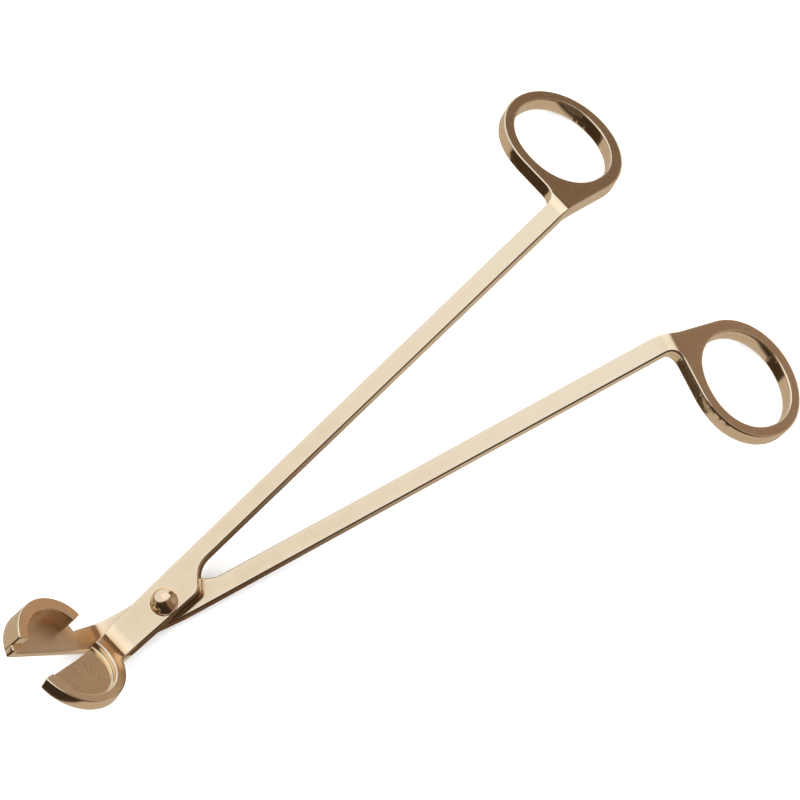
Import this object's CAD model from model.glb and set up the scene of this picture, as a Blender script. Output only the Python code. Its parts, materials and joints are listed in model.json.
import json
import math

import bmesh
import bpy
import numpy as np
from mathutils import Matrix, Vector


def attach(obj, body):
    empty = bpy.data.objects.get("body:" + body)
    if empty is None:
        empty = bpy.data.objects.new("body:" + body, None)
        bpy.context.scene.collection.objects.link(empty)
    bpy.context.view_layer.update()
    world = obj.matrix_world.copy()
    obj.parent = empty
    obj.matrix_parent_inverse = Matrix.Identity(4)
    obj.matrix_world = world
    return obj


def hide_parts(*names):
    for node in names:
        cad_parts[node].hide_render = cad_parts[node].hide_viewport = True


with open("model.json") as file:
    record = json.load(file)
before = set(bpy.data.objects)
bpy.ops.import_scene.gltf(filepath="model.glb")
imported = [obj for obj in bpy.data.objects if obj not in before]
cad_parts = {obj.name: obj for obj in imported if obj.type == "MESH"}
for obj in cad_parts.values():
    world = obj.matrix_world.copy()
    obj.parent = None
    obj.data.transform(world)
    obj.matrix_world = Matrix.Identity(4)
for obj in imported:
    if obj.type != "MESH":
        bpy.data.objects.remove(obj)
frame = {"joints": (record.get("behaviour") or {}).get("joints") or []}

MM = 0.001

# ---- dimensions shared with the CAD model, in millimetres and degrees ----
OPENING = 15.5              # between the arms at rest
PITCH, ROLL = -6.47, -2.58  # how the arms slope when the trimmer lies on a table
THICK = 3.1                 # of the arms
GAP = 0.3                   # between the pieces
BOSS_INNER, BOSS_END = -3.8, 7.0
FOLD_REACH = 4.0            # how far either side of its line a fold blends into the flat
LOOP = dict(fold=45, thick=3.9, length=26.35, width=29.35, start=1.2, inner=0.85,
            hole_length=21.0, hole_width=23.4, hole_start=3.95, hole_inner=4.05,
            outer_power=2.04, hole_power=2.12)
TRAY = dict(fold=50, thick=3.2, centre=13.15, across=1.0, radius=11.4,
            recess_centre=13.3, recess_across=0.2, recess_radius=8.4, recess_depth=1.6,
            recess_fillet=0.5)
HOOK = dict(fold=50, thick=1.7, centre=17.3, across=-1.3, radius=10.0,
            rim_inside=7.1, rim_height=4.9, rim_from=12, rim_to=157,
            lip_inside=8.6, lip_height=1.4, lip_from=3, lip_overlap=3,
            floor_inset=0.9, heel_inset=0.02)
UPPER = dict(side=1, loop_at=122.9, head_at=13.3, top=GAP / 2 + THICK, inner=0.65, outer=5.1)
LOWER = dict(side=-1, loop_at=125.0, head_at=15.5, top=-GAP / 2, inner=-0.15, outer=4.35)
RIVET = dict(dome=6.3, dome_height=1.9, shank=3.4, tail=5.6, tail_height=0.8)

# ---- fineness of the round stretches, in steps ----
LOOP_STEPS, TRAY_STEPS, HOOK_STEPS, HEEL_STEPS = 216, 150, 120, 4
HOLE_SPACING = 1.5          # degrees between the points of a finger hole
RIVET_HOLE_SPACING = 7.5
RING_SPACING = 1.25         # the same round the rim and the lip, at most
RECESS_STEPS, RIVET_STEPS, DOME_STEPS, FILLET_STEPS = 144, 128, 40, 6

# ---- finish ----
EDGE = 0.38                 # rounding of every edge
SEAT = 0.04                 # what is left under the rivet's head and tail
BORDER = 0.05               # flat strip inside the rounding, so flat faces shade flat
LOOP_BEND, HEAD_BEND = 2.0, 3.0   # how far a fold's curve reaches either side of its line
GRID = 2.2                  # spacing of the mesh over the flat faces
CREASE = 32                 # degrees past which an edge shades sharp
RECESS_CREASE = 25          # the same on the tray half, to keep the top of its recess sharp
WEAR_SPREAD = 0.5           # how far wear spreads from an edge, as a squared distance

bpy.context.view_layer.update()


# ---- outlines ----
def arc(x, y, radius, start, stop, steps):
    """Points round (x, y), from the angle start to stop in degrees."""
    angles = np.radians(np.linspace(start, stop, steps + 1))
    return [(x + radius * math.cos(a), y + radius * math.sin(a)) for a in angles]


def oval(x, y, length, width, power, start, stop, steps):
    """The same round an ellipse, or past power 2 a slightly squarer one."""
    def bulge(v):
        return math.copysign(abs(v) ** (2 / power), v)
    return [(x + length / 2 * bulge(c), y + width / 2 * bulge(s))
            for c, s in arc(0, 0, 1, start, stop, steps)]


def outline(corners, side=1, steps=7):
    """Corners (x, y, trim) joined by lines, each corner rounded off over its trim."""
    points = []
    count = len(corners)
    for i, corner in enumerate(corners):
        here = Vector(corner[:2])
        trim = corner[2] if len(corner) > 2 else 0
        if not trim:
            points.append(here)
            continue
        ahead = Vector(corners[(i + 1) % count][:2])
        behind = Vector(corners[i - 1][:2])
        entry = here + (behind - here).normalized() * trim
        leave = here + (ahead - here).normalized() * trim
        for k in range(steps + 1):
            t = k / steps
            points.append(entry * (1 - t) ** 2 + here * (2 * t * (1 - t)) + leave * t ** 2)
    return counter_clockwise([(p[0], side * p[1]) for p in points])


def counter_clockwise(points):
    """The points as an array, turned round if they run clockwise."""
    p = np.array(points)
    q = np.roll(p, -1, axis=0)
    area = np.sum(p[:, 0] * q[:, 1] - q[:, 0] * p[:, 1])
    return p if area > 0 else p[::-1]


def arm_corners(half):
    """From the boss along the arm's inner side, round the finger loop, to its outer side."""
    at = half["loop_at"]
    loop = oval(at + LOOP["start"] + LOOP["length"] / 2, LOOP["inner"] + LOOP["width"] / 2,
                LOOP["length"], LOOP["width"], LOOP["outer_power"], -90, 180, LOOP_STEPS)
    return [
        (BOSS_END, BOSS_INNER, 1.2),
        (BOSS_END + 4, half["inner"], 2.5),
        (at - 3, half["inner"], 2),
        (at + 3, LOOP["inner"], 2),
        *loop,
        (at + LOOP["start"], half["outer"], 3.6),
    ]


def upper_corners():
    """The tray half laid flat. x counts outwards from the head's fold."""
    def x(reach):
        return -UPPER["head_at"] - reach
    tray = arc(x(TRAY["centre"]), TRAY["across"], TRAY["radius"], 180, 337, TRAY_STEPS)
    # The points next to the tray's sharp corner are left out, to make room for its trim.
    return [
        (*tray[0], 0.65),
        *tray[4:],
        (x(0), -3.0, 2),
        *arm_corners(UPPER),
        (0, 4.8, 4),
        (x(0), 4.5, 3),
        (x(6), 2.9, 3),
        (x(11), 2.1, 2),
    ]


def lower_corners():
    """The hook half laid flat, drawn as the tray half is and mirrored by outline."""
    def x(reach):
        return -LOWER["head_at"] - reach
    # Under the rim the floor stops inside it, so the rim's own wall is the outer wall.
    centre = (x(HOOK["centre"]), HOOK["across"])
    floor_radius = HOOK["radius"] - HOOK["floor_inset"]
    tip = arc(*centre, floor_radius, 180 + HOOK["lip_from"], 184, 1)
    inside = arc(*centre, floor_radius, 187, 333, HOOK_STEPS)
    heel = arc(*centre, HOOK["radius"] - HOOK["heel_inset"], 337, 347, HEEL_STEPS)
    return [
        *tip,
        *inside,
        *heel,
        (x(4.5), -3.7, 1),
        (x(0), BOSS_INNER, 3),
        *arm_corners(LOWER),
        (2, LOWER["outer"], 4),
        (x(-3), 3.4, 4),
    ]


def once_round(spacing):
    """(start, stop, steps) of a closed arc, which leaves out its last point."""
    steps = round(360 / spacing) - 1
    return 0, steps * spacing, steps


def finger_hole(half):
    """Oval hole in the finger loop, on the blank laid flat."""
    centre = (half["loop_at"] + LOOP["hole_start"] + LOOP["hole_length"] / 2,
              half["side"] * (LOOP["hole_inner"] + LOOP["hole_width"] / 2))
    hole = oval(*centre, LOOP["hole_length"], LOOP["hole_width"], LOOP["hole_power"],
                *once_round(HOLE_SPACING))
    return counter_clockwise(hole)[::-1]


def rivet_hole():
    """Round hole with the CAD model's clearance, clockwise as every hole is."""
    hole = arc(0, 0, RIVET["shank"] / 2 + GAP, *once_round(RIVET_HOLE_SPACING))
    return counter_clockwise(hole)[::-1]


# ---- solids ----
def edge_profile(low, high, edge, steps=4):
    """(inset, height) down the side of a plate, with both edges rounded."""
    top = [(edge + BORDER, high)]
    for k in range(steps + 1):
        a = math.pi / 2 * k / steps
        top.append((edge * (1 - math.sin(a)), high - edge * (1 - math.cos(a))))
    middle = (high + low) / 2
    return top + [(0, middle)] + [(inset, high + low - z) for inset, z in reversed(top)]


def plate(outer, holes, low, high, edge=EDGE):
    """Plate with rounded edges from height low to height high, as a bmesh."""
    bm = bmesh.new()
    rings = edge_profile(low, high, edge)
    caps = ([], [])
    for loop in [outer, *holes]:
        loop = np.asarray(loop, float)
        along = np.roll(loop, -1, axis=0) - loop
        side = np.stack([along[:, 1], -along[:, 0]], axis=1)
        side /= np.linalg.norm(side, axis=1)[:, None]
        out = side + np.roll(side, 1, axis=0)
        out /= np.maximum(np.einsum("ij,ij->i", out, side), 0.35)[:, None]
        rows = []
        for inset, z in rings:
            rows.append([bm.verts.new((*(p - n * inset), z)) for p, n in zip(loop, out)])
        count = len(loop)
        for upper, lower in zip(rows, rows[1:]):
            for i in range(count):
                j = (i + 1) % count
                bm.faces.new((upper[i], lower[i], lower[j], upper[j]))
        for cap, row in zip(caps, (rows[0], rows[-1])):
            cap += [bm.edges.get((row[i], row[(i + 1) % count])) for i in range(count)]
    for cap in caps:
        bmesh.ops.triangle_fill(bm, edges=cap, use_beauty=True, normal=(0, 0, 1))
    bmesh.ops.recalc_face_normals(bm, faces=bm.faces)
    return bm


def cut_across(bm, axis, places):
    """Cut the faces at each place along an axis, so that they can bend and shade evenly."""
    normal = Vector((axis == 0, axis == 1, axis == 2))
    for place in places:
        geometry = bm.verts[:] + bm.edges[:] + bm.faces[:]
        bmesh.ops.bisect_plane(bm, geom=geometry, plane_co=normal * place, plane_no=normal,
                               dist=1e-4)


def lathe(profile, steps):
    """Solid of revolution about Z from (radius, height) pairs that start and end on the axis."""
    bm = bmesh.new()
    rows = []
    for radius, z in profile:
        if radius < 1e-6:
            rows.append([bm.verts.new((0, 0, z))] * steps)
        else:
            rows.append([bm.verts.new((radius * math.cos(a), radius * math.sin(a), z))
                         for a in np.linspace(0, 2 * math.pi, steps, endpoint=False)])
    for a, b in zip(rows, rows[1:]):
        for i in range(steps):
            j = (i + 1) % steps
            corners = []
            for v in (a[i], a[j], b[j], b[i]):
                if v not in corners:
                    corners.append(v)
            bm.faces.new(corners)
    bmesh.ops.recalc_face_normals(bm, faces=bm.faces)
    return bm


# ---- folding ----
class Fold:
    """A fold across the blank. Beyond it the piece runs on in a new direction, and each face
    turns round its own bend point."""

    def __init__(self, end, at, angle, top, end_thick, bend):
        self.end, self.at, self.top, self.end_thick, self.bend = end, at, top, end_thick, bend
        turn = math.radians(angle) * (-1 if end > 0 else 1)
        self.out = Vector((math.cos(turn), math.sin(turn)))
        self.up = Vector((-self.out.y, self.out.x))
        self.top_bend = Vector((at, top))
        reach = (end_thick * self.out.x - THICK) / self.out.y
        self.bottom_bend = self.beyond(reach, end_thick)
        self.cuts = [end * (at + d) for d in (
            -FOLD_REACH, *np.linspace(-bend, bend, 13), FOLD_REACH)]

    def beyond(self, reach, depth):
        """Point so far out along the folded end and so deep below its top face."""
        return self.top_bend + self.out * reach - self.up * depth

    def along(self, x, bend, depth, level):
        """Where a face at this level goes at x: it curves near its bend point."""
        reach = x - self.at
        if reach >= FOLD_REACH:
            return self.beyond(reach, depth)
        before = Vector((self.at - FOLD_REACH, level))
        after = self.beyond(FOLD_REACH, depth)

        def straight(r):
            if r < 0:
                return before.lerp(bend, 1 + r / FOLD_REACH)
            return bend.lerp(after, r / FOLD_REACH)

        if abs(reach) >= self.bend:
            return straight(reach)
        t = (reach + self.bend) / (2 * self.bend)
        return (straight(-self.bend) * (1 - t) ** 2 + bend * (2 * t * (1 - t))
                + straight(self.bend) * t ** 2)

    def apply(self, p):
        """Move a point of the flat blank to where the fold takes it."""
        x = self.end * p.x
        if x <= self.at - FOLD_REACH:
            return
        on_top = self.along(x, self.top_bend, 0, self.top)
        on_bottom = self.along(x, self.bottom_bend, self.end_thick, self.top - THICK)
        folded = on_top.lerp(on_bottom, (self.top - p.z) / THICK)
        p.x, p.z = self.end * folded.x, folded.y

    def frame(self):
        """Of the folded end: x out along it, y across, z off its top face."""
        columns = (Vector((self.end * self.out.x, 0, self.out.y)), Vector((0, self.end, 0)),
                   Vector((self.end * self.up.x, 0, self.up.y)))
        matrix = Matrix(columns).transposed().to_4x4()
        matrix.translation = (self.end * self.at, 0, self.top)
        return matrix

    def unfold(self, co):
        """Points back on the blank: (which points lie beyond the fold, x, depth)."""
        rel = np.stack([self.end * co[:, 0] - self.at, co[:, 2] - self.top], axis=1)
        split = np.array((1 + self.out.x, self.out.y))
        reach = rel @ np.array(self.out)
        depth = -rel @ np.array(self.up)
        return rel @ split > 0, self.end * (self.at + reach), depth


def folds_of(half, head):
    return [
        Fold(-1, half["head_at"], head["fold"], half["top"], head["thick"], HEAD_BEND),
        Fold(1, half["loop_at"], LOOP["fold"], half["top"], LOOP["thick"], LOOP_BEND),
    ]


def folded_blank(half, folds, outer):
    """Plate with its finger hole and rivet hole, bent at both folds."""
    holes = [finger_hole(half), rivet_hole()]
    bm = plate(outer, holes, half["top"] - THICK, half["top"])
    low, high = outer.min(axis=0), outer.max(axis=0)
    cut_across(bm, 0, np.arange(low[0] + GRID / 2, high[0], GRID))
    cut_across(bm, 1, np.arange(low[1] + GRID / 2, high[1], GRID))
    for fold in folds:
        cut_across(bm, 0, fold.cuts)
    for vert in bm.verts:
        for fold in folds:
            fold.apply(vert.co)
    return bm


# ---- objects ----
def as_object(bm, name):
    """Object from a bmesh, in the scene, with the points that coincide merged."""
    bmesh.ops.remove_doubles(bm, verts=bm.verts, dist=0.002)
    mesh = bpy.data.meshes.new(name)
    bm.to_mesh(mesh)
    bm.free()
    obj = bpy.data.objects.new(name, mesh)
    bpy.context.scene.collection.objects.link(obj)
    return obj


def combine(obj, operation, *tools):
    """Join or cut obj with each tool, and leave the result in obj's own mesh."""
    for tool in tools:
        modifier = obj.modifiers.new("cut", "BOOLEAN")
        modifier.operation = operation
        modifier.solver = "MANIFOLD"
        modifier.object = tool
        bpy.context.view_layer.update()
        evaluated = obj.evaluated_get(bpy.context.evaluated_depsgraph_get())
        mesh = bpy.data.meshes.new_from_object(evaluated)
        mesh.materials.clear()
        obj.modifiers.clear()
        obj.data = mesh
        bpy.data.objects.remove(tool)


def ring_sector(inside, outside, start, stop, low, high, trim=0.5):
    """Part of a ring, for the hook's rim and lip. The points next to its four corners are left
    out, to make room for their trims."""
    steps = max(4, int(abs(stop - start) / RING_SPACING))
    outer = arc(0, 0, outside, start, stop, steps)
    inner = arc(0, 0, inside, stop, start, steps)
    corners = [(*outer[0], trim), *outer[3:-3], (*outer[-1], trim),
               (*inner[0], trim), *inner[4:-4], (*inner[-1], trim)]
    return plate(outline(corners, steps=5), [], low, high, EDGE * 0.95)


def placed(bm, fold, x, y):
    """Move a tool drawn about the origin to (x, y) on the top face of a folded end."""
    bm.transform(fold.frame() @ Matrix.Translation((x, y, 0)))
    return bm


def recess_cutter():
    """Of the tray's recess: flat floor, filleted wall, and a rounded bevel at the top."""
    bottom, wall, fillet = -TRAY["recess_depth"], TRAY["recess_radius"], TRAY["recess_fillet"]
    floor = [(wall * part, bottom) for part in (0, 0.4, 0.7)]
    foot = arc(wall - fillet, bottom + fillet, fillet, -90, 0, FILLET_STEPS)
    bevel = [(wall, -0.36), (wall + 0.08, -0.20), (wall + 0.20, -0.092), (wall + 0.44, 0.028)]
    above = [(wall + 1.3, 0.9), (0, 1)]
    return lathe([*floor, *foot, *bevel, *above], RECESS_STEPS)


def upper_half():
    folds = folds_of(UPPER, TRAY)
    outer = outline(upper_corners(), UPPER["side"])
    obj = as_object(folded_blank(UPPER, folds, outer), "upper_half")
    cutter = placed(recess_cutter(), folds[0],
                    TRAY["recess_centre"], -UPPER["side"] * TRAY["recess_across"])
    combine(obj, "DIFFERENCE", as_object(cutter, "cutter"))
    return finish_half(obj, folds, [outer, finger_hole(UPPER)], RECESS_CREASE)


def lower_half():
    folds = folds_of(LOWER, HOOK)
    outer = outline(lower_corners(), LOWER["side"])
    obj = as_object(folded_blank(LOWER, folds, outer), "lower_half")
    centre = (HOOK["centre"], -LOWER["side"] * HOOK["across"])
    rim = ring_sector(HOOK["rim_inside"], HOOK["radius"], -HOOK["rim_to"], -HOOK["rim_from"],
                      -HOOK["thick"], HOOK["rim_height"])
    lip = ring_sector(HOOK["lip_inside"], HOOK["radius"],
                      -HOOK["rim_from"] - HOOK["lip_overlap"], -HOOK["lip_from"],
                      -HOOK["thick"], HOOK["lip_height"])
    tools = [as_object(placed(bm, folds[0], *centre), "tool") for bm in (rim, lip)]
    combine(obj, "UNION", *tools)
    return finish_half(obj, folds, [outer, finger_hole(LOWER)], CREASE)


def distance_squared(loop, points):
    """Of each point to a closed outline, both seen from above."""
    starts = np.asarray(loop)
    sides = np.roll(starts, -1, axis=0) - starts
    lengths = np.maximum(np.einsum("ij,ij->i", sides, sides), 1e-9)
    nearest = np.full(len(points), np.inf)
    for start, side, length in zip(starts, sides, lengths):
        offset = points[:, :2] - start
        along = np.clip(offset @ side / length, 0, 1)
        gap = offset - along[:, None] * side
        nearest = np.minimum(nearest, np.einsum("ij,ij->i", gap, gap))
    return nearest


def finish_half(obj, folds, loops, crease):
    """Lay-flat coordinates and nearness to an edge for the materials, and the shading."""
    mesh = obj.data
    points = np.empty(len(mesh.vertices) * 3)
    mesh.vertices.foreach_get("co", points)
    points = points.reshape(-1, 3)
    flat = points.copy()
    depth = folds[0].top - points[:, 2]
    for fold in folds:
        beyond, x, below = fold.unfold(points)
        flat[beyond, 0] = x[beyond]
        depth[beyond] = below[beyond]
    flat[:, 2] = depth
    in_plan = np.min([distance_squared(loop, flat) for loop in loops], axis=0)
    from_face = np.minimum(np.abs(depth), np.abs(THICK - depth))
    edge = np.exp(-(in_plan + from_face ** 2) / WEAR_SPREAD)
    mesh.attributes.new("lay", "FLOAT_VECTOR", "POINT").data.foreach_set("vector", flat.ravel())
    mesh.attributes.new("edge", "FLOAT", "POINT").data.foreach_set("value", edge)
    return shaded(obj, crease)


def shaded(obj, crease):
    """Smooth shading up to the crease angle, with flat faces kept flat."""
    mesh = obj.data
    mesh.polygons.foreach_set("use_smooth", [True] * len(mesh.polygons))
    mesh.set_sharp_from_angle(angle=math.radians(crease))
    weighted = obj.modifiers.new("even_shading", "WEIGHTED_NORMAL")
    weighted.keep_sharp = True
    weighted.weight = 80
    return obj


def rivet():
    """Dome, shank and tail in one. A short skirt carries the dome down to its seat."""
    head = UPPER["top"] + GAP
    seat = UPPER["top"] + SEAT
    foot = LOWER["top"] - THICK - SEAT
    low = LOWER["top"] - THICK - GAP - RIVET["tail_height"]
    radius, shank, tail = (RIVET[part] / 2 for part in ("dome", "shank", "tail"))
    height = RIVET["dome_height"]
    ball = (radius ** 2 + height ** 2) / (2 * height)
    spread = math.degrees(math.asin(radius / ball))
    dome = arc(0, head + height - ball, ball, 90 - spread + 1.5, 90, DOME_STEPS)
    dome[-1] = (0, head + height)
    profile = [
        (0, low), (tail - 1.1, low), (tail - 0.7, low + 0.04), (tail - 0.35, low + 0.16),
        (tail - 0.1, low + 0.36), (tail, foot - 0.25), (tail, foot),
        (shank, foot), (shank, seat),
        (radius - 0.12, seat), (radius - 0.03, seat + 0.06), (radius, head), *dome,
    ]
    obj = as_object(lathe(profile, RIVET_STEPS), "rivet")
    points = np.array([vert.co for vert in obj.data.vertices])
    lay = obj.data.attributes.new("lay", "FLOAT_VECTOR", "POINT")
    lay.data.foreach_set("vector", points.ravel())
    return shaded(obj, CREASE)


# ---- placing ----
pivot = frame["joints"][0]
LAID = (Matrix.Translation(Vector(pivot["pos_m"]))
        @ Matrix.Rotation(math.radians(ROLL), 4, "X")
        @ Matrix.Rotation(math.radians(PITCH), 4, "Y")
        @ Matrix.Scale(MM, 4))


def place(obj, name, turn, body, node, slot):
    """Turn the piece about the rivet, lay it on the table and hand it to its CAD node."""
    obj.name = name
    obj.data.transform(LAID @ Matrix.Rotation(math.radians(turn), 4, "Z"))
    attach(obj, body)
    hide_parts(node)
    return obj


upper = place(upper_half(), "upper_half_tray_finished", OPENING / 2,
              "upper_half", "upper_half_tray", "upper_half")
lower = place(lower_half(), "lower_half_hook_finished", -OPENING / 2,
              "lower_half", "lower_half_hook", "lower_half")
pin = place(rivet(), "pivot_rivet_finished", 0, "lower_half", "pivot_rivet", "rivet")


# ---- materials ----
def nodes_of(material):
    material.use_nodes = True
    tree = material.node_tree
    tree.nodes.clear()
    return tree


class Graph:
    """Short calls for building a node tree."""

    def __init__(self, tree):
        self.tree = tree

    def node(self, kind, inputs=(), **settings):
        n = self.tree.nodes.new(kind)
        for key, value in settings.items():
            setattr(n, key, value)
        for key, value in dict(inputs).items():
            if isinstance(value, bpy.types.NodeSocket):
                self.tree.links.new(value, n.inputs[key])
            else:
                n.inputs[key].default_value = value
        return n

    def math(self, operation, *values, clamp=False):
        return self.node("ShaderNodeMath", enumerate(values), operation=operation,
                         use_clamp=clamp).outputs[0]

    def ramp(self, value, low, high, to_low=0.0, to_high=1.0):
        return self.node("ShaderNodeMapRange", {
            "Value": value, "From Min": low, "From Max": high,
            "To Min": to_low, "To Max": to_high}, interpolation_type="SMOOTHSTEP").outputs[0]

    def mix(self, factor, a, b):
        n = self.node("ShaderNodeMix", data_type="RGBA")
        for socket, value in ((n.inputs[0], factor), (n.inputs[6], a), (n.inputs[7], b)):
            if isinstance(value, bpy.types.NodeSocket):
                self.tree.links.new(value, socket)
            else:
                socket.default_value = value
        return n.outputs[2]

    def between(self, value, rise, fall):
        """1 from the end of rise to the start of fall, each a (start, stop), and 0 outside."""
        return self.math("MULTIPLY", self.ramp(value, *rise), self.ramp(value, *fall, 1, 0))

    def noise(self, vector, scale, detail, roughness=0.5):
        return self.node("ShaderNodeTexNoise", {
            "Vector": vector, "Scale": scale, "Detail": detail,
            "Roughness": roughness}).outputs["Fac"]

    def stretch(self, vector, scale):
        return self.node("ShaderNodeVectorMath", {0: vector, 1: scale},
                         operation="MULTIPLY").outputs[0]


ROSE_GOLD = (0.91, 0.775, 0.57, 1)
ROSE_DEEP = (0.88, 0.725, 0.52, 1)
ROSE_PALE = (0.95, 0.83, 0.64, 1)
COPPER = (0.90, 0.63, 0.37, 1)
BURNISHED = (0.62, 0.46, 0.31, 1)
WORN = (0.96, 0.86, 0.69, 1)
BRUSHING, WAVINESS = 0.03, 0.5      # shares of the bump
BUMP_HEIGHT = 0.00002               # metres
RIM_MATT = 0.28                     # roughness that wear adds to a pocket's rim


def metal(name, grain, roughness=0.11, head=None):
    """Polished rose gold, paler along the arm, worn at its edges and finely brushed. Grain is
    how tightly the brushing is packed along x, y and z. A head has a redder neck and a satin
    pocket. Lengths are millimetres on the blank laid flat."""
    material = bpy.data.materials.new(name)
    g = Graph(nodes_of(material))
    lay = g.node("ShaderNodeAttribute", attribute_name="lay").outputs["Vector"]
    edge = g.node("ShaderNodeAttribute", attribute_name="edge").outputs["Fac"]
    along, _, depth = g.node("ShaderNodeSeparateXYZ", {0: lay}).outputs
    clouds = g.noise(lay, 0.16, 3)
    speckle = g.noise(lay, 2.2, 4, 0.6)
    streaks = g.noise(g.stretch(lay, grain), 1.0, 3, 0.6)
    colour = g.mix(g.ramp(clouds, 0.35, 0.68), ROSE_GOLD, ROSE_DEEP)
    colour = g.mix(g.between(along, (15, 118), (121, 125)), colour, ROSE_PALE)
    if head:
        away = g.node("ShaderNodeVectorMath",
                      {0: g.stretch(lay, (1, 1, 0)), 1: (*head["pocket"], 0)},
                      operation="DISTANCE").outputs["Value"]
        colour = g.mix(neck(g, head, along, away), colour, COPPER)
    wear = g.math("MULTIPLY", edge, g.ramp(speckle, 0.35, 0.6, 0.25, 1.0), clamp=True)
    colour = g.mix(wear, colour, WORN)
    rough = g.math("ADD", g.ramp(streaks, 0.3, 0.75, roughness - 0.03, roughness + 0.05),
                   g.ramp(speckle, 0.4, 0.8, 0.0, 0.04))
    height = g.math("ADD", g.math("MULTIPLY", streaks, BRUSHING),
                    g.math("MULTIPLY", clouds, WAVINESS))
    if head:
        worn = worn_rim(g, head, away)
        lines = cutter_marks(g, head, lay, away)
        colour = g.mix(worn, colour, WORN)
        colour = g.mix(g.math("MULTIPLY", lines, 0.5, clamp=True), colour, BURNISHED)
        rough = g.math("ADD", rough, g.math("MULTIPLY", worn, RIM_MATT))
        rough = g.math("ADD", rough, satin(g, head, depth, away))
        height = g.math("ADD", height, lines)
    bump = g.node("ShaderNodeBump", {"Strength": 0.25, "Distance": BUMP_HEIGHT,
                                     "Height": height}).outputs[0]
    shader = g.node("ShaderNodeBsdfPrincipled", {
        "Base Color": colour, "Metallic": 1.0, "Roughness": rough, "Normal": bump})
    g.node("ShaderNodeOutputMaterial", {"Surface": shader.outputs[0]})
    return material


def neck(g, head, along, away):
    """From the fold to the pocket, and not inside the pocket."""
    fold, radius = -head["at"], head["radius"]
    return g.math("MULTIPLY", g.between(along, (fold - 12, fold - 3), (fold - 1.5, fold)),
                  g.ramp(away, radius, radius + max(head["fade"], 0.6)))


def worn_rim(g, head, away):
    """The bevel at the top of the pocket's wall, where it is rubbed bright."""
    radius = head["radius"]
    ring = g.between(away, (radius + 0.02, radius + 0.12), (radius + 0.46, radius + 0.60))
    return g.math("MULTIPLY", ring, head["worn"])


def satin(g, head, depth, away):
    """Roughness of the pocket's floor. It fades out past its rim, and isn't on the wall."""
    radius = head["radius"]
    reach = g.ramp(away, radius - 1.5, radius + head["fade"], head["satin"], 0)
    return g.math("MULTIPLY", reach, g.ramp(depth, -0.6, -0.05))


def cutter_marks(g, head, lay, away):
    """Faint broken arcs round the middle of a pocket."""
    radius = head["radius"]
    wobble = g.math("MULTIPLY", g.noise(lay, 0.35, 2), 9.0)
    rings = g.math("SINE", g.math("ADD", g.math("MULTIPLY", away, 6.5), wobble))
    marks = g.math("MULTIPLY", rings, g.ramp(g.noise(lay, 0.42, 1), 0.46, 0.70))
    inside = g.ramp(away, radius - 1.2, radius - 0.4, 1, 0)
    return g.math("MULTIPLY", marks, g.math("MULTIPLY", inside, head["marks"]))


ALONG_THE_ARM = (0.12, 5, 5)
upper.data.materials.append(metal("rose_gold_upper", ALONG_THE_ARM, head=dict(
    at=UPPER["head_at"], radius=TRAY["recess_radius"],
    pocket=(-UPPER["head_at"] - TRAY["recess_centre"], TRAY["recess_across"]),
    marks=0.9, satin=0.07, fade=-0.4, worn=0.9)))
lower.data.materials.append(metal("rose_gold_lower", ALONG_THE_ARM, head=dict(
    at=LOWER["head_at"], radius=HOOK["rim_inside"],
    pocket=(-LOWER["head_at"] - HOOK["centre"], -HOOK["across"]),
    marks=0.15, satin=0.27, fade=2.5, worn=0.0)))
pin.data.materials.append(metal("rose_gold_rivet", (2, 2, 2), roughness=0.07))

# ---- studio: what the metal reflects ----
# Each region is (colour, conditions) and lies over the ones before it. A condition is
# (azimuth, elevation, half angle, softness) of a cone in degrees, and a region is where its
# cones meet.
TABLE_GLOW = (0.53, 0.44, 0.35, 1)
ABOVE_TABLE = (0, 90, 95.5, 2)
ABOVE_FAR_EDGE = (0, 90, 100.5, 2.5)
REFLECTED = [
    # the room above the table, then its paler and its darker sides
    ((0.26, 0.18, 0.135, 1), [ABOVE_TABLE]),
    ((0.44, 0.335, 0.26, 1), [(-22, 20, 22, 8), ABOVE_TABLE]),
    ((0.23, 0.135, 0.088, 1), [(-95, 30, 42, 8), ABOVE_TABLE]),
    ((0.04, 0.026, 0.016, 1), [(-148, 10, 61, 7), ABOVE_FAR_EDGE]),
    ((0.05, 0.030, 0.018, 1), [(-130, 69, 20, 4)]),
    # the large softbox, and its brightest part
    ((0.88, 0.86, 0.85, 1), [(76, 36, 52, 4)]),
    ((1.08, 1.06, 1.04, 1), [(52, 46, 20, 14)]),
    # small patches low beyond the finger loops
    ((0.44, 0.33, 0.24, 1), [(16, -4, 21, 4)]),
    ((0.49, 0.325, 0.22, 1), [(5, 3, 6, 4)]),
    ((0.11, 0.066, 0.042, 1), [(26, 13, 11, 3)]),
    ((0.20, 0.138, 0.097, 1), [(24, 9, 5, 3)]),
    ((0.26, 0.18, 0.135, 1), [(6, 16, 8, 4)]),
    # a dark patch low beyond the heads
    ((0.05, 0.028, 0.014, 1), [(164, -15, 13, 1.5)]),
]
DOME_RADIUS = 4.0

# ---- studio: the card under the crossing, in metres ----
CARD_FROM, CARD_TO, CARD_HALF_WIDTH = -0.066, 0.016, 0.022
CARD_AT = (0, -0.010, 0.0003)
SHADE = (0.12, 0.070, 0.040, 1)
SHADE_FADES = (-0.040, 0.030)

# ---- studio: the floor, in metres ----
FLOOR_MIDDLE, FLOOR_EDGE = 0.36, 2.6        # half sizes of the fine middle and of the whole
FLOOR_CELLS = 90
DIP_AT, DIP_DEPTH = Vector((0.018, 0.135)), 0.014
DIP_RADIUS, DIP_BOTTOM = 0.095, 0.020       # of its edge and of its flat bottom
FLOOR_TONES = (0.90, 0.90, 0.90, 1), (0.92, 0.92, 0.92, 1)

AMBIENT = 1.2


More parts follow.
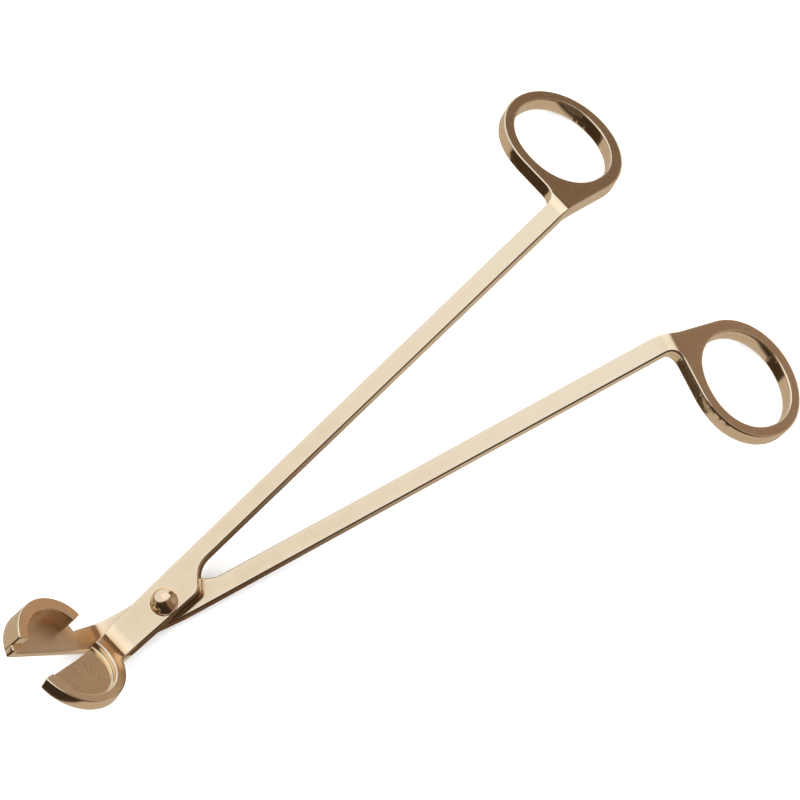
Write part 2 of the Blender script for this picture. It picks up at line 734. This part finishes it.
def direction(azimuth, elevation):
    """Unit vector, from degrees."""
    a, e = math.radians(azimuth), math.radians(elevation)
    return Vector((math.cos(e) * math.cos(a), math.cos(e) * math.sin(a), math.sin(e)))


def reflected_only(obj, name, paint):
    """Make obj glow in the colour that paint works out, for polished metal alone to see."""
    material = bpy.data.materials.new(name)
    material.cycles.emission_sampling = "NONE"
    g = Graph(nodes_of(material))
    place = g.node("ShaderNodeTexCoord").outputs["Object"]
    glow = g.node("ShaderNodeEmission", {"Color": paint(g, place), "Strength": 1.0})
    g.node("ShaderNodeOutputMaterial", {"Surface": glow.outputs[0]})
    obj.data.materials.append(material)
    obj.visible_camera = False
    obj.visible_diffuse = False
    obj.visible_shadow = False
    obj.visible_transmission = False
    obj.visible_volume_scatter = False


def room(g, place):
    """Colour of the reflected room in each direction."""
    away = g.node("ShaderNodeVectorMath", {0: place}, operation="NORMALIZE").outputs[0]
    colour = TABLE_GLOW
    for tone, conditions in REFLECTED:
        cover = 1.0
        for azimuth, elevation, half, soft in conditions:
            facing = g.node("ShaderNodeVectorMath", {0: away, 1: direction(azimuth, elevation)},
                            operation="DOT_PRODUCT").outputs["Value"]
            cone = g.ramp(facing, math.cos(math.radians(half + soft)),
                          math.cos(math.radians(half - soft)))
            cover = g.math("MULTIPLY", cone, cover)
        colour = g.mix(cover, colour, tone)
    return colour


def shade(g, place):
    """Colour along the card, from dark to the glow of the table."""
    along = g.node("ShaderNodeSeparateXYZ", {0: place}).outputs[0]
    return g.mix(g.ramp(along, *SHADE_FADES), SHADE, TABLE_GLOW)


def reflection_dome():
    bm = bmesh.new()
    bmesh.ops.create_uvsphere(bm, u_segments=48, v_segments=24, radius=DOME_RADIUS)
    reflected_only(as_object(bm, "reflection_dome"), "softboxes", room)


def shade_card():
    """Dark card under the crossing, paler towards the loops, for the walls that face down."""
    bm = bmesh.new()
    corners = [(CARD_FROM, -CARD_HALF_WIDTH), (CARD_TO, -CARD_HALF_WIDTH),
               (CARD_TO, CARD_HALF_WIDTH), (CARD_FROM, CARD_HALF_WIDTH)]
    bm.faces.new([bm.verts.new((x, y, 0)) for x, y in corners])
    card = as_object(bm, "shade_card")
    card.location = CARD_AT
    reflected_only(card, "shade", shade)


def floor():
    """Flat under the trimmer, with a shallow dip where the opened loop swings low."""
    bm = bmesh.new()
    bmesh.ops.create_grid(bm, x_segments=FLOOR_CELLS, y_segments=FLOOR_CELLS, size=FLOOR_MIDDLE)
    for vert in bm.verts:
        t = (DIP_RADIUS - (vert.co.xy - DIP_AT).length) / (DIP_RADIUS - DIP_BOTTOM)
        t = min(max(t, 0), 1)
        vert.co.z = -DIP_DEPTH * t * t * (3 - 2 * t)
    corners = [(-1, -1), (1, -1), (1, 1), (-1, 1)]
    inner, outer = ([bm.verts.new((x * size, y * size, 0)) for x, y in corners]
                    for size in (FLOOR_MIDDLE, FLOOR_EDGE))
    for i in range(4):
        j = (i + 1) % 4
        bm.faces.new((inner[i], outer[i], outer[j], inner[j]))
    obj = as_object(bm, "floor")
    obj.data.polygons.foreach_set("use_smooth", [True] * len(obj.data.polygons))
    material = bpy.data.materials.new("pale_floor")
    g = Graph(nodes_of(material))
    place = g.node("ShaderNodeTexCoord").outputs["Object"]
    colour = g.mix(g.ramp(g.noise(place, 6.0, 3), 0.3, 0.7), *FLOOR_TONES)
    shader = g.node("ShaderNodeBsdfPrincipled", {"Base Color": colour, "Roughness": 0.9,
                                                 "Specular IOR Level": 0.0})
    g.node("ShaderNodeOutputMaterial", {"Surface": shader.outputs[0]})
    obj.data.materials.append(material)
    obj.visible_glossy = False


def softbox(name, azimuth, elevation, distance, size, watts):
    """Square light that lights the floor and casts soft shadows, but isn't reflected."""
    light = bpy.data.lights.new(name, "AREA")
    light.size = size
    light.energy = watts
    obj = bpy.data.objects.new(name, light)
    bpy.context.scene.collection.objects.link(obj)
    obj.location = direction(azimuth, elevation) * distance
    obj.rotation_euler = (-obj.location).to_track_quat("-Z", "Y").to_euler()
    obj.visible_glossy = False


def surroundings():
    """Even white light from all round, and plain colour handling."""
    world = bpy.data.worlds.new("studio")
    world.use_nodes = True
    background = world.node_tree.nodes["Background"]
    background.inputs["Color"].default_value = (1, 1, 1, 1)
    background.inputs["Strength"].default_value = AMBIENT
    bpy.context.scene.world = world
    bpy.context.scene.view_settings.view_transform = "Standard"


reflection_dome()
shade_card()
floor()
softbox("key", azimuth=130, elevation=65, distance=2.2, size=1.6, watts=40)
softbox("fill", azimuth=-40, elevation=60, distance=2.4, size=1.8, watts=26)
surroundings()

# ---- camera: nearly overhead, a long way off ----
AIM = Vector((0.01395, 0.00641, 0.01203))
CAMERA_AZIMUTH, CAMERA_ELEVATION, CAMERA_ROLL = -102.183, 77.587, -22.760
CAMERA_DISTANCE = 2.49495
LENS, SENSOR = 511.875, 36
FAR_CLIP = 30


def camera():
    """Looks at AIM from its azimuth and elevation, turned about its own axis by the roll."""
    data = bpy.data.cameras.new("camera")
    data.lens = LENS
    data.sensor_width = SENSOR
    data.clip_end = FAR_CLIP
    obj = bpy.data.objects.new("camera", data)
    bpy.context.scene.collection.objects.link(obj)
    back = direction(CAMERA_AZIMUTH, CAMERA_ELEVATION)
    level = (-back).cross(Vector((0, 0, 1))).normalized()
    upright = level.cross(-back)
    roll = math.radians(CAMERA_ROLL)
    right = level * math.cos(roll) + upright * math.sin(roll)
    up = upright * math.cos(roll) - level * math.sin(roll)
    obj.matrix_world = Matrix.Translation(AIM + back * CAMERA_DISTANCE) @ (
        Matrix((right, up, back)).transposed().to_4x4())
    bpy.context.scene.camera = obj


camera()
